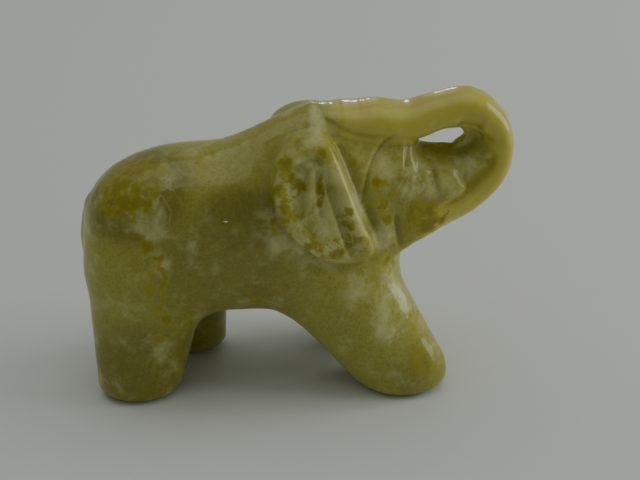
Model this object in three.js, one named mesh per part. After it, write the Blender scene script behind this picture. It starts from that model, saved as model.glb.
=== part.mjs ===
// A small elephant figurine, carved from one piece of serpentine and polished.
// It stands on four stout legs in mid stride, with its head up and its trunk curled back over
// the head, so that the tip lies on the forehead and a slot stays open inside the curl.
//
// Millimetres, +Z up, +X towards the curl. The origin is on the ground, under the middle.
//
// The stone is one solid without a seam, so it is written as a field: a function of a point
// that is negative inside the stone, zero on its skin and positive outside, in about
// millimetres. Rounded masses are blended as a carver leaves them, folds, grooves and the slot
// are cut into them, and the skin is wrapped with a net of triangles.

import * as THREE from "three";

// Driving sizes of the whole figure.
const LENGTH = 70; // from the rump to the curl
const WIDTH = 27; // over the ears and the feet
const HEIGHT = 49.3; // from the ground to the top of the curl

// The figure is drawn 69.62 long, 26.7 wide and 49.25 high. Its places, masses and outlines
// follow the driving sizes as shares. Fillets, rims, edges and grooves keep sizes of their own.
const ALONG = LENGTH / 69.62;
const ACROSS = WIDTH / 26.7;
const UP = HEIGHT / 49.25;
const GIRTH = (ALONG + UP) / 2;

// Sizes of the carving.
const BODY_FILLET = 5; // hollow where the rounded masses of the body run together
const LEG_FLAT = 0.76; // a leg's thickness across the body, as a share of its depth
const FRONT_SOLE_ROUND = 2.6; // rounding of the front feet above the ground
const HIND_SOLE_ROUND = 2.8;
const EAR_REACH = 13.3 * ACROSS; // half the width over the ears
const EAR_ROUND = 1.5; // rounding of the ear's edge
const EAR_HOLLOW = 0.8; // depth of the ear's hollow inside its rim
const EAR_RIM = 2.45; // width of that rim, to the middle of its inner slope
const CHEEK_WIDE = 9.3 * ACROSS; // half width of the face at the ears
const CHEEK_NARROW = 5.1 * ACROSS; // and where it runs into the trunk
const WEB_THICK = 3.6 * ACROSS; // half thickness of the stone left inside the curl
const WEB_THIN = 1.7 * ACROSS; // and along the notch beside the slot
const WEB_LEAST = 1 * ACROSS; // and where it is thinnest
const SIDE_CELL = 1.25; // size of the net over the head
const BODY_CELL = 2.25; // and over the body and the legs
const CROSS_CELL = 1.5; // and across the body

const mix = (a, b, t) => a + (b - a) * t;
const clamp = (v, low, high) => Math.min(Math.max(v, low), high);
const ramp = (v, low, high) => clamp((v - low) / (high - low), 0, 1);
const ease = (t) => t * t * (3 - 2 * t);

// Points of the drawing, in space and in side view, brought to the driving sizes.
const brought = ([x, y, z]) => [x * ALONG, y * ACROSS, z * UP];
const broughtFlat = ([x, z]) => [x * ALONG, z * UP];

// Joins two masses, with a hollow fillet between them.
function blend(a, b, fillet) {
  const h = Math.max(fillet - Math.abs(a - b), 0) / fillet;
  return Math.min(a, b) - (h * h * fillet) / 4;
}

// Keeps what two masses share, with a rounded edge.
const share = (a, b, round) => -blend(-a, -b, round);

// A smooth line in side view through a few [x, z] points.
function curved(points, count, closed = false) {
  const vectors = points.map(broughtFlat).map(([x, z]) => new THREE.Vector3(x, 0, z));
  const made = new THREE.CatmullRomCurve3(vectors, closed, "centripetal").getPoints(count);
  return (closed ? made.slice(1) : made).map((p) => [p.x, p.z]);
}

// Distance in side view from a point to a line of [x, z] points, with the place of the
// nearest point along it, from 0 to 1.
function lineDistance(x, z, points) {
  let nearest = Infinity;
  let along = 0;
  for (let i = 0; i < points.length - 1; i++) {
    const [ax, az] = points[i];
    const ex = points[i + 1][0] - ax;
    const ez = points[i + 1][1] - az;
    const t = clamp(((x - ax) * ex + (z - az) * ez) / (ex * ex + ez * ez), 0, 1);
    const d2 = (x - ax - t * ex) ** 2 + (z - az - t * ez) ** 2;
    if (d2 < nearest) {
      nearest = d2;
      along = (i + t) / (points.length - 1);
    }
  }
  return [Math.sqrt(nearest), along];
}

// Signed distance in side view to a closed outline: negative inside it.
function outlineDistance(x, z, points) {
  let nearest = Infinity;
  let inside = false;
  for (let i = 0, j = points.length - 1; i < points.length; j = i++) {
    const [ax, az] = points[j];
    const [bx, bz] = points[i];
    const ex = bx - ax;
    const ez = bz - az;
    const t = clamp(((x - ax) * ex + (z - az) * ez) / (ex * ex + ez * ez), 0, 1);
    nearest = Math.min(nearest, (x - ax - t * ex) ** 2 + (z - az - t * ez) ** 2);
    if (az > z !== bz > z && x < (ex * (z - az)) / ez + ax) inside = !inside;
  }
  return (inside ? -1 : 1) * Math.sqrt(nearest);
}

// An egg-shaped mass. A power over 2 makes it squarer.
const mass = (centre, radii, power = 2) => ({ centre: brought(centre), radii: brought(radii), power });

function egg(x, y, z, { centre, radii, power }) {
  const u = Math.abs(x - centre[0]) / radii[0];
  const v = Math.abs(y - centre[1]) / radii[1];
  const w = Math.abs(z - centre[2]) / radii[2];
  const reach = (u ** power + v ** power + w ** power) ** (1 / power);
  if (reach < 1e-6) return -Math.min(...radii);
  const slope = Math.hypot(
    (u / reach) ** (power - 1) / radii[0],
    (v / reach) ** (power - 1) / radii[1],
    (w / reach) ** (power - 1) / radii[2],
  );
  return (reach - 1) / slope;
}

// A tapered limb from one ball to another, flattened across the body.
const bone = (from, to, thick, thin) => ({
  from: brought(from),
  to: brought(to),
  thick: thick * GIRTH,
  thin: thin * GIRTH,
});

function limb(x, y, z, { from, to, thick, thin }) {
  const ax = to[0] - from[0];
  const ay = (to[1] - from[1]) / LEG_FLAT;
  const az = to[2] - from[2];
  const px = x - from[0];
  const py = (y - from[1]) / LEG_FLAT;
  const pz = z - from[2];
  const t = clamp((px * ax + py * ay + pz * az) / (ax * ax + ay * ay + az * az), 0, 1);
  const d = Math.hypot(px - t * ax, py - t * ay, pz - t * az) - mix(thick, thin, t);
  return d * mix(1, LEG_FLAT, 0.5);
}

// The barrel of the body, the head's core and the chest.
const BARREL = mass([-12, 0, 26.8], [22.1, 11.9, 13.7], 2.5);
const HEAD_CORE = mass([4.2, 0, 32], [14.6, 10, 14]);
const CHEST = mass([7, 0, 22.5], [9.2, 8.6, 11]);

// The ridge of the neck, and the fold that crosses it from ear to ear.
const CREST = bone([-10, 0, 31.6], [3, 0, 39.4], 8.6, 7.1);
const CREST_FILLET = 3;
const FOLD = bone([2.8, 0, 46.2], [3.3, 7.4, 43.4], 1.2, 1.2);
const FOLD_FILLET = 1;

// Legs, with the near side at -Y: the thigh or shoulder, and the shank down to the foot.
const LEGS = [
  {
    round: HIND_SOLE_ROUND,
    bones: [
      bone([-24.3, -5, 20], [-26.5, -6.9, 1.6], 9.6, 7),
      bone([-21, 5, 20], [-19, 6.9, 1.6], 9.6, 6.9),
    ],
  },
  {
    round: FRONT_SOLE_ROUND,
    bones: [
      bone([6.8, -4.6, 19], [17.2, -7.8, 2.6], 8.8, 7.5),
      bone([-1, -4.8, 23.5], [10.5, -7.4, 12], 7.5, 6),
      bone([5.4, 4.6, 19], [14, 7.6, 2.6], 8.8, 7.4),
      bone([-2, 4.8, 23.5], [8, 7.2, 12], 7.5, 6),
    ],
  },
];
const LEG_FILLET = 4;

// A short tail in low relief down the rump.
const TAIL = curved([[-32.4, 31.5], [-33.8, 26.5], [-33.7, 21.8], [-32.4, 18.4]], 8);
const TAIL_RADII = [1, 0.8];
const TAIL_FILLET = 1.6;

function tail(x, y, z) {
  const [d, along] = lineDistance(x, z, TAIL);
  return Math.hypot(d, y) - mix(TAIL_RADII[0], TAIL_RADII[1], along);
}

// The face in side view, from the neck to the root of the trunk.
const FACE = curved(
  [
    [2, 36], [5, 44], [12.5, 44.9], [17.5, 43], [20.5, 40.8], [25.2, 40.8],
    [26.9, 35.4], [27, 32], [21.5, 27], [13.2, 23], [4, 26],
  ],
  44,
  true,
);
const FACE_FROM = 8 * ALONG;
const FACE_TO = 26 * ALONG;
const FACE_ROUND = 1.3;
const FACE_FILLET = 1.2;
const CROWN = { above: 33.5 * UP, over: 10 * UP, taper: 4.4 * ACROSS };
const JAW = { below: 32 * UP, over: 8 * UP, taper: 0.3 * ACROSS };

// How much the stone thins out on each side towards the slot.
const DISH = curved([[20.6, 40.7], [23.4, 40.3], [26.3, 40.8]], 8);
const DISH_DEPTH = 3.1 * ACROSS;
const DISH_WIDTH = 2.1;

function dish(x, z) {
  const [away] = lineDistance(x, z, DISH);
  return DISH_DEPTH * Math.exp(-((away / DISH_WIDTH) ** 2));
}

function face(x, side, z) {
  const along = Math.min((x - FACE_FROM) / (FACE_TO - FACE_FROM), 1);
  const crown = CROWN.taper * (Math.max(z - CROWN.above, 0) / CROWN.over) ** 2;
  const jaw = JAW.taper * (Math.max(JAW.below - z, 0) / JAW.over) ** 2;
  const half = mix(CHEEK_WIDE, CHEEK_NARROW, along) - crown - jaw - dish(x, z);
  return share(outlineDistance(x, z, FACE), side - half, FACE_ROUND);
}

// The trunk's centre line in side view from root to tip, with half its thickness in side view
// and half its width across.
const TRUNK = [
  { x: 19.5, z: 28.8, thick: 3.9, wide: 6.2 },
  { x: 25.8, z: 31.1, thick: 3.2, wide: 5.2 },
  { x: 30.4, z: 34.5, thick: 2.75, wide: 4.8 },
  { x: 32.5, z: 39.1, thick: 2.35, wide: 4.5 },
  { x: 31.1, z: 43.7, thick: 2.75, wide: 4.3 },
  { x: 27.4, z: 46.2, thick: 3.05, wide: 4.2 },
  { x: 22.4, z: 45.5, thick: 2.9, wide: 4.2 },
  { x: 17.6, z: 44.3, thick: 2.8, wide: 4.6 },
  { x: 12.8, z: 44.7, thick: 2.9, wide: 5.1 },
  { x: 8.6, z: 45.1, thick: 2.3, wide: 4.9 },
  { x: 5, z: 45.6, thick: 1.5, wide: 4 },
];
const TRUNK_POWER = 2.5; // squareness of its section
const TRUNK_STEPS = 40;
const TRUNK_FILLET = 1;

const trunkLine = curved(TRUNK.map(({ x, z }) => [x, z]), TRUNK_STEPS).map(([x, z], i) => {
  const along = (i / TRUNK_STEPS) * (TRUNK.length - 1);
  const k = Math.min(Math.floor(along), TRUNK.length - 2);
  const thick = mix(TRUNK[k].thick, TRUNK[k + 1].thick, ease(along - k));
  const wide = mix(TRUNK[k].wide, TRUNK[k + 1].wide, ease(along - k));
  return [x, z, thick * GIRTH, wide * ACROSS];
});

function trunk(x, side, z) {
  let nearest = Infinity;
  for (let i = 0; i < TRUNK_STEPS; i++) {
    const [ax, az, aThick, aWide] = trunkLine[i];
    const [bx, bz, bThick, bWide] = trunkLine[i + 1];
    const ex = bx - ax;
    const ez = bz - az;
    const t = clamp(((x - ax) * ex + (z - az) * ez) / (ex * ex + ez * ez), 0, 1);
    const away = Math.hypot(x - ax - t * ex, z - az - t * ez);
    if (away > nearest + trunkLine[0][2]) continue;
    const thick = mix(aThick, bThick, t);
    const wide = mix(aWide, bWide, t);
    const reach = ((away / thick) ** TRUNK_POWER + (side / wide) ** TRUNK_POWER) ** (1 / TRUNK_POWER);
    nearest = Math.min(nearest, (reach - 1) * Math.min(thick, wide));
  }
  return nearest;
}

// The web of stone left inside the curl, with a notch that runs on from the slot.
const WEB = curved(
  [[26, 44.5], [31, 44.5], [33, 39.5], [31, 34.5], [25, 31], [22, 33], [23.5, 38.2], [25.4, 40.4]],
  32,
  true,
);
const WEB_ROUND = 0.6;
const WEB_FILLET = 0.5;
const NOTCH_FROM = 39 * UP;
const NOTCH_TO = 41.6 * UP;

function web(x, side, z) {
  const notched = mix(WEB_THICK, WEB_THIN, ramp(z, NOTCH_FROM, NOTCH_TO));
  const half = Math.max(notched - dish(x, z), WEB_LEAST);
  return share(outlineDistance(x, z, WEB), side - half, WEB_ROUND);
}

// The ears lie on one egg-shaped dome, each a plate with a rounded edge and a broad rim.
const EAR = curved(
  [
    [2, 44.8], [-0.8, 44], [-3.1, 42.1], [-4.2, 39], [-4.1, 35.6], [-2.5, 31.6], [0.5, 28.1],
    [3.9, 25.7], [7.4, 24.7], [10.4, 25.1], [11.8, 26.8], [10.3, 30.8], [6.9, 40], [5.6, 43.2],
    [4.4, 44.6],
  ],
  50,
  true,
);
const EAR_DOME = { centre: brought([3.6, 0, 31.5]), radii: [22 * ALONG, EAR_REACH, 17 * UP], power: 2 };
const EAR_FILLET = 0.8;
const EAR_RISE = 1.2; // how much higher the far ear was cut
const EAR_SLOPE = 0.85; // half the width of the slope from the rim into the hollow
const HOLLOW_FROM = 27 * UP; // the hollow runs out between these heights
const HOLLOW_TO = 33 * UP;

function ear(x, side, z, edge) {
  const inward = ease(ramp(-edge, EAR_RIM - EAR_SLOPE, EAR_RIM + EAR_SLOPE));
  const hollow = EAR_HOLLOW * inward * ease(ramp(z, HOLLOW_FROM, HOLLOW_TO));
  return share(edge, egg(x, side, z, EAR_DOME) + hollow, EAR_ROUND);
}

// The shallow valley in the neck all round each ear.
const VALLEY = { depth: 0.5, beyond: 0.9, width: 1.3, from: 4 * ACROSS, to: 8 * ACROSS };

function valley(side, edge) {
  const across = Math.exp(-(((edge - VALLEY.beyond) / VALLEY.width) ** 2));
  return VALLEY.depth * across * ramp(side, VALLEY.from, VALLEY.to);
}

// The slot through the curl. It opens wider towards each side, and its edges are rounded.
const SLOT = curved(
  [
    [20, 40.8], [21.3, 42], [23.4, 43], [25.4, 43], [26.5, 42.4], [26.8, 41.6], [25.8, 40.9],
    [23.2, 40.5],
  ],
  28,
  true,
);
const SLOT_ROUND = 0.7;
const SLOT_FLARE = { from: 1.5, slope: 0.3 };

function slot(x, side, z) {
  return SLOT_FLARE.slope * Math.max(side - SLOT_FLARE.from, 0) - outlineDistance(x, z, SLOT);
}

// Grooves cut into both sides, each along a line in side view, from a little way out.
const GROOVES = [
  // Folds of the ear, from the back to the deep one behind the front strip.
  { line: [[1.3, 39.4], [0.4, 34.4]], width: 0.75, depth: 0.7, beyond: 6 },
  { line: [[3.1, 40.6], [2.9, 33.4]], width: 0.75, depth: 0.9, beyond: 6 },
  { line: [[4.1, 39.4], [6.2, 32.4], [7.7, 26.6]], width: 1, depth: 1.1, beyond: 6 },
  // Under the trunk's tip, and round the cheek.
  { line: [[5.2, 45], [8.2, 43.2], [11.2, 41]], width: 0.9, depth: 0.45, beyond: 3 },
  { line: [[13.6, 42.4], [11.6, 40.4], [10.6, 37.6], [10.3, 34.4]], width: 0.8, depth: 0.3, beyond: 3 },
  // Fan of the cheek, and the mouth.
  { line: [[17.2, 41.4], [16.6, 38.2]], width: 0.8, depth: 0.4, beyond: 3 },
  { line: [[21.3, 40], [22.9, 34]], width: 0.8, depth: 0.6, beyond: 3 },
  { line: [[15.4, 30.2], [16.3, 25.4]], width: 0.8, depth: 0.4, beyond: 3 },
  // Where the trunk's outer band parts from the face and the web.
  { line: [[31.3, 39.2], [29.3, 36.4], [25.8, 33.2], [22.6, 32]], width: 1, depth: 0.6, beyond: 2.5 },
  // The hollow above the slot.
  { line: [[25, 43.8], [29.2, 43.4]], width: 2, depth: 0.7, beyond: 2.5 },
];
const GROOVE_END = 0.16; // share of its length over which a groove runs out

const grooveLines = GROOVES.map(({ line }) => line.map(broughtFlat));

function grooves(x, side, z) {
  let cut = 0;
  for (const [index, { width, depth, beyond }] of GROOVES.entries()) {
    if (side < beyond * ACROSS) continue;
    const [d, along] = lineDistance(x, z, grooveLines[index]);
    if (d > 3 * width) continue;
    const fade = ease(ramp(Math.min(along, 1 - along), -GROOVE_END / 2, GROOVE_END));
    cut += depth * fade * Math.exp(-((d / width) ** 2));
  }
  return cut;
}

// The whole stone.
function stone(x, y, z) {
  const side = Math.abs(y);
  let skin = egg(x, y, z, BARREL);
  skin = blend(skin, egg(x, y, z, HEAD_CORE), BODY_FILLET);
  skin = blend(skin, egg(x, y, z, CHEST), BODY_FILLET);
  for (const { round, bones } of LEGS)
    for (const one of bones) skin = blend(skin, share(limb(x, y, z, one), -z, round), LEG_FILLET);
  skin = blend(skin, tail(x, y, z), TAIL_FILLET);
  skin = blend(skin, limb(x, y, z, CREST), CREST_FILLET);
  skin = blend(skin, limb(x, side, z, FOLD), FOLD_FILLET);
  const edge = outlineDistance(x, y > 0 ? z - EAR_RISE : z, EAR);
  skin = blend(skin + valley(side, edge), face(x, side, z), FACE_FILLET);
  skin = blend(skin, ear(x, side, z, edge), EAR_FILLET);
  skin = blend(skin, trunk(x, side, z), TRUNK_FILLET);
  skin = blend(skin, web(x, side, z), WEB_FILLET);
  return share(skin, slot(x, side, z), SLOT_ROUND) + grooves(x, side, z);
}

// Marks along one axis, a step apart, where the step may change from place to place.
function ruler(low, high, stepAt) {
  const marks = [];
  for (let mark = low; mark < high + BODY_CELL; mark += stepAt(mark)) marks.push(mark);
  return marks;
}

// The corners of a cell of the net, numbered by bits: 1 along X, 2 along Y and 4 along Z.
// Its faces are rings of four corners.
const BITS = [1, 2, 4];
const CORNERS = Array.from({ length: 8 }, (_, c) => BITS.map((bit) => (c & bit ? 1 : 0)));
const RINGS = BITS.flatMap((bit, axis) => {
  const u = BITS[(axis + 1) % 3];
  const v = BITS[(axis + 2) % 3];
  return [[0, u, u | v, v], [bit, bit | u, bit | u | v, bit | v]];
});
const EDGE_NAMES = 64;
const edgeName = (a, b) => 8 * Math.min(a, b) + Math.max(a, b);

// Sorts the edges that the skin crosses in one cell into sheets. On each face an edge where
// the ring runs into the stone goes with the edge where it comes out again.
function sheets(at) {
  const sheetOf = new Map();
  for (const ring of RINGS)
    for (let s = 0; s < 4; s++) {
      if (at[ring[s]] < 0 || at[ring[(s + 1) % 4]] >= 0) continue;
      let t = s + 1;
      while (at[ring[(t + 1) % 4]] < 0) t++;
      const pair = [edgeName(ring[s], ring[(s + 1) % 4]), edgeName(ring[t % 4], ring[(t + 1) % 4])];
      const joined = new Set(pair.flatMap((edge) => [...(sheetOf.get(edge) ?? [edge])]));
      for (const edge of joined) sheetOf.set(edge, joined);
    }
  return new Set(sheetOf.values());
}

// Wraps a field's skin in a net: one knot for each sheet of skin in a cell, and four knots
// joined round each grid edge that the skin crosses.
function wrap(field, marks) {
  const count = marks.map((axis) => axis.length);
  const place = (i, j, k) => i + count[0] * (j + count[1] * k);
  const value = new Float64Array(count[0] * count[1] * count[2]);
  for (let k = 0; k < count[2]; k++)
    for (let j = 0; j < count[1]; j++)
      for (let i = 0; i < count[0]; i++)
        value[place(i, j, k)] = field(marks[0][i], marks[1][j], marks[2][k]);

  const knots = [];
  const knotOf = new Map();
  for (let k = 0; k < count[2] - 1; k++)
    for (let j = 0; j < count[1] - 1; j++)
      for (let i = 0; i < count[0] - 1; i++) {
        const cell = [i, j, k];
        const at = CORNERS.map(([a, b, c]) => value[place(i + a, j + b, k + c)]);
        for (const sheet of sheets(at)) {
          const knot = cell.map((index, axis) => {
            let sum = 0;
            for (const edge of sheet) {
              const a = edge >> 3;
              const b = edge & 7;
              sum += mix(CORNERS[a][axis], CORNERS[b][axis], at[a] / (at[a] - at[b]));
            }
            return mix(marks[axis][index], marks[axis][index + 1], sum / sheet.size);
          });
          for (const edge of sheet) knotOf.set(EDGE_NAMES * place(i, j, k) + edge, knots.length);
          knots.push(knot);
        }
      }

  const faces = [];
  const steps = [[1, 0, 0], [0, 1, 0], [0, 0, 1]];
  for (let k = 1; k < count[2] - 1; k++)
    for (let j = 1; j < count[1] - 1; j++)
      for (let i = 1; i < count[0] - 1; i++)
        for (let axis = 0; axis < 3; axis++) {
          const [di, dj, dk] = steps[axis];
          const here = value[place(i, j, k)] < 0;
          if (here === value[place(i + di, j + dj, k + dk)] < 0) continue;
          const ring = RINGS[2 * axis].map((corner) => {
            const [s, t, r] = CORNERS[corner];
            const edge = edgeName(corner, corner | BITS[axis]);
            return knotOf.get(EDGE_NAMES * place(i - s, j - t, k - r) + edge);
          });
          const [a, b, c, d] = here ? ring : ring.reverse();
          faces.push(a, b, c, a, c, d);
        }
  return { knots, faces };
}

// Draws each knot on to the skin along the field's slope, a few short steps at a time.
const PASSES = 4;
const FLAT_SLOPE = 0.05;

function settle(field, knots, reach) {
  const nudge = 0.02;
  for (const knot of knots)
    for (let pass = 0; pass < PASSES; pass++) {
      const gap = field(...knot);
      const slope = knot.map((_, axis) => {
        const beside = knot.map((v, other) => (other === axis ? v + nudge : v));
        return (field(...beside) - gap) / nudge;
      });
      const steep = slope.reduce((sum, v) => sum + v * v, 0);
      if (steep < FLAT_SLOPE) break;
      const step = clamp(gap / steep, -reach, reach);
      for (let axis = 0; axis < 3; axis++) knot[axis] -= step * slope[axis];
    }
}

// The net's cells are finer over the head. They reach past the stone on every side, and the
// same number lies on both sides of the middle.
const HEAD_FROM = -7 * ALONG;
const HEAD_ABOVE = 22 * UP;
const MARGIN = 3;
const CROSS_CELLS = Math.ceil((WIDTH / 2 + MARGIN) / CROSS_CELL);
const marks = [
  ruler(-LENGTH / 2 - MARGIN, LENGTH / 2 + MARGIN, (x) => (x < HEAD_FROM ? BODY_CELL : SIDE_CELL)),
  ruler(-CROSS_CELLS * CROSS_CELL, CROSS_CELLS * CROSS_CELL, () => CROSS_CELL),
  ruler(-MARGIN, HEIGHT + MARGIN, (z) => (z < HEAD_ABOVE ? BODY_CELL : SIDE_CELL)),
];
const { knots, faces } = wrap(stone, marks);
settle(stone, knots, SIDE_CELL / 6);

// The soles are rubbed flat, and the figure is set in the middle, on the ground.
const SOLE_LEVEL = 0.03;
const flattened = knots.map(([x, y, z]) => new THREE.Vector3(x, y, Math.max(z, SOLE_LEVEL)));
const box = new THREE.Box3().setFromPoints(flattened);
const middle = box.getCenter(new THREE.Vector3()).setZ(box.min.z);
const geometry = new THREE.BufferGeometry();
geometry.setFromPoints(flattened.map((knot) => knot.sub(middle)));
geometry.setIndex(faces);
geometry.computeVertexNormals();

const material = new THREE.MeshStandardMaterial({ color: 0x9c9a5c, roughness: 0.2, metalness: 0 });
const elephant = new THREE.Mesh(geometry, material);
elephant.name = "elephant";

const figure = new THREE.Group();
figure.add(elephant);
export default figure;
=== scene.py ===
"""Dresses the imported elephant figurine: the finely carved stone, its polish and its finish.

The stone is carved here once more from the same masses as the CAD solid, with a finer net and
with the finer relief: the sharp bottoms of the ear's folds, the rays on the cheek, the incised
lines and the slight ripple that hand polishing leaves. It then stands for the CAD solid.

Drawing sizes are in millimetres and the drawing is brought to the CAD solid's box. Blender
works in metres.
"""

from __future__ import annotations

import logging
import math
from dataclasses import dataclass, field
from enum import Enum
from typing import Callable, Sequence

import bpy
import numpy as np
from mathutils import Matrix, Vector


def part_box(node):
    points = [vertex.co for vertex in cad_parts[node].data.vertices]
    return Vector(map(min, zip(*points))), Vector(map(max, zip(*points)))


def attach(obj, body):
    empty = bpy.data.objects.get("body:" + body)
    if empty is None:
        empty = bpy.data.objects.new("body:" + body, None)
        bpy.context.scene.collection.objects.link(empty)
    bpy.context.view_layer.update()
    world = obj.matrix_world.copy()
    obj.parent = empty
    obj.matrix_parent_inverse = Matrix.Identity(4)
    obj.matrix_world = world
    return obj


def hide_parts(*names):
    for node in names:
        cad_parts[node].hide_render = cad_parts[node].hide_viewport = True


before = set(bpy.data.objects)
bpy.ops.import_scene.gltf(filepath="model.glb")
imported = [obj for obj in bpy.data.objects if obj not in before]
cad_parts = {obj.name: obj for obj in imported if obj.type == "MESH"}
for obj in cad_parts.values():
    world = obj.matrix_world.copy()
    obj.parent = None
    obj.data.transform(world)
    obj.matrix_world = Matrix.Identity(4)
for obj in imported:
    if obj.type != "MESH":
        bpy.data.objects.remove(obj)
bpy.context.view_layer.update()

log = logging.getLogger("elephant")

MM = 0.001
LEAST = 1e-6  # keeps a divisor off zero
Point3 = tuple[float, float, float]
Point2 = tuple[float, float]
Colour = tuple[float, float, float]
Field = Callable[[np.ndarray, np.ndarray, np.ndarray], np.ndarray]
Fed = float | Sequence[float] | bpy.types.NodeSocket


class Node(Enum):
    """CAD nodes that the scene uses."""

    ELEPHANT = "elephant"


class Slot(Enum):
    """Material slots of the record."""

    SERPENTINE = "serpentine"


class Share(Enum):
    """Shares from 0 to 1 that are kept on the net for the finish."""

    # Carved grooves and concave valleys: painted shade in their colour, and a duller polish.
    HOLLOW_SHADE_AND_DULL = "carved"
    RIDGE_HIGHLIGHT = "ridge_highlight"
    # Convex ridges: a painted highlight, paler where the skin bends most.
    MOTTLED = "mottled"
    CLOUDY = "cloudy"
    BAND = "band"
    # Darker stone tone on the rump, and painted shade low on the barrel and legs, under the jaw, on the near
    # flank and on the cheek.
    DEEP_TONE_AND_SHADE = "deep_tone_and_shade"
    SLOT = "slot"


class Detail(Enum):
    """How finely the stone is carved: the net's cell over the head and over the body."""

    TRIAL = (0.7, 1.1)
    FULL = (0.32, 0.62)


def mix(a: np.ndarray | float, b: np.ndarray | float, t: np.ndarray | float) -> np.ndarray | float:
    """Goes from a to b as t goes from 0 to 1."""
    return a + (b - a) * t


def ramp(value: np.ndarray, low: float, high: float) -> np.ndarray:
    """Goes from 0 to 1 as value goes from low to high, and stays there."""
    return np.clip((value - low) / (high - low), 0, 1)


def ease(t: np.ndarray | float) -> np.ndarray | float:
    """Softens both ends of a ramp from 0 to 1."""
    return t * t * (3 - 2 * t)


def blend(a: np.ndarray, b: np.ndarray, fillet: float) -> np.ndarray:
    """Joins two masses, with a hollow fillet between them.

    Args:
        a: Signed distance to the first mass, negative inside.
        b: Signed distance to the second mass.
        fillet: Size of the fillet.

    Returns:
        Signed distance to both together.
    """
    h = np.maximum(fillet - np.abs(a - b), 0) / fillet
    return np.minimum(a, b) - h * h * fillet / 4


def share(a: np.ndarray, b: np.ndarray, rounding: float) -> np.ndarray:
    """Keeps what two masses share, with a rounded edge.

    Args:
        a: Signed distance to the first mass, negative inside.
        b: Signed distance to the second mass.
        rounding: Size of the rounded edge.

    Returns:
        Signed distance to what they share.
    """
    return -blend(-a, -b, rounding)


def curved(points: Sequence[Point2], count: int, closed: bool = False) -> np.ndarray:
    """Draws a smooth line through a few points in side view.

    Args:
        points: Points [x, z] that the line runs through.
        count: Number of stretches that the line is made of.
        closed: Whether the line runs back to its start.

    Returns:
        The line's points, an array of [x, z] rows. A closed line doesn't repeat its start.
    """
    given = np.array(points, float)
    total = len(given)
    if closed:
        padded = np.vstack([given[-1], given, given[:2]])
    else:
        padded = np.vstack([2 * given[0] - given[1], given, 2 * given[-1] - given[-2]])
    stretches = total if closed else total - 1
    made = []
    for step in range(count + 1):
        along = stretches * step / count
        start = min(int(along), stretches - 1)
        t = along - start
        p0, p1, p2, p3 = padded[start : start + 4]
        d0, d1, d2 = (np.sqrt(np.linalg.norm(b - a)) for a, b in ((p0, p1), (p1, p2), (p2, p3)))
        t1 = ((p1 - p0) / d0 - (p2 - p0) / (d0 + d1) + (p2 - p1) / d1) * d1
        t2 = ((p2 - p1) / d1 - (p3 - p1) / (d1 + d2) + (p3 - p2) / d2) * d1
        made.append(p1 + t1 * t + (3 * (p2 - p1) - 2 * t1 - t2) * t**2 + (2 * (p1 - p2) + t1 + t2) * t**3)
    return np.array(made[1:] if closed else made)


def nearest_on(x: np.ndarray, z: np.ndarray, a: np.ndarray, b: np.ndarray) -> tuple[np.ndarray, np.ndarray]:
    """Finds how far points are from one straight stretch in side view.

    Args:
        x: Points' x.
        z: Points' z.
        a: Start of the stretch.
        b: End of the stretch.

    Returns:
        The square of the distance, and the nearest place along the stretch from 0 to 1.
    """
    ex, ez = b - a
    t = np.clip(((x - a[0]) * ex + (z - a[1]) * ez) / (ex * ex + ez * ez), 0, 1)
    return (x - a[0] - t * ex) ** 2 + (z - a[1] - t * ez) ** 2, t


def line_distance(
    x: np.ndarray, z: np.ndarray, line: np.ndarray
) -> tuple[np.ndarray, np.ndarray, np.ndarray]:
    """Finds how far points are from an open line in side view.

    Args:
        x: Points' x.
        z: Points' z.
        line: The line's points.

    Returns:
        The distance, the hand from 1 on the line's left to -1 on its right, and the nearest place
        along the line from 0 to 1.
    """
    best = np.full(np.broadcast(x, z).shape, np.inf)
    across = np.zeros_like(best)
    along = np.zeros_like(best)
    for i in range(len(line) - 1):
        d2, t = nearest_on(x, z, line[i], line[i + 1])
        closer = d2 < best
        ex, ez = line[i + 1] - line[i]
        left = (ex * (z - line[i][1]) - ez * (x - line[i][0])) / math.hypot(ex, ez)
        best = np.where(closer, d2, best)
        across = np.where(closer, left, across)
        along = np.where(closer, (i + t) / (len(line) - 1), along)
    away = np.sqrt(best)
    return away, across / np.maximum(away, LEAST), along


def outline_distance(x: np.ndarray, z: np.ndarray, outline: np.ndarray) -> np.ndarray:
    """Finds how far points are from a closed outline in side view.

    Args:
        x: Points' x.
        z: Points' z.
        outline: The outline's points.

    Returns:
        The distance, negative inside the outline.
    """
    best = np.full(np.broadcast(x, z).shape, np.inf)
    inside = np.zeros(best.shape, bool)
    for a, b in zip(np.roll(outline, 1, axis=0), outline):
        best = np.minimum(best, nearest_on(x, z, a, b)[0])
        if a[1] != b[1]:
            crosses = ((a[1] > z) != (b[1] > z)) & (x < (b[0] - a[0]) * (z - a[1]) / (b[1] - a[1]) + a[0])
            inside = inside ^ crosses
    return np.where(inside, -1, 1) * np.sqrt(best)


@dataclass(frozen=True)
class Egg:
    """An egg-shaped mass. A power over 2 makes it squarer."""

    centre: Point3
    radii: Point3
    power: float = 2.0

    def distance(self, x: np.ndarray, y: np.ndarray, z: np.ndarray) -> np.ndarray:
        """Gives about the signed distance to the mass.

        Args:
            x: Points' x.
            y: Points' y.
            z: Points' z.

        Returns:
            The distance, negative inside.
        """
        shares = [np.abs(v - c) / r for v, c, r in zip((x, y, z), self.centre, self.radii)]
        reach = sum(s**self.power for s in shares) ** (1 / self.power)
        reach = np.maximum(reach, LEAST)
        slopes = [(s / reach) ** (self.power - 1) / r for s, r in zip(shares, self.radii)]
        return (reach - 1) / np.sqrt(sum(s * s for s in slopes) + LEAST**2)


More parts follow.
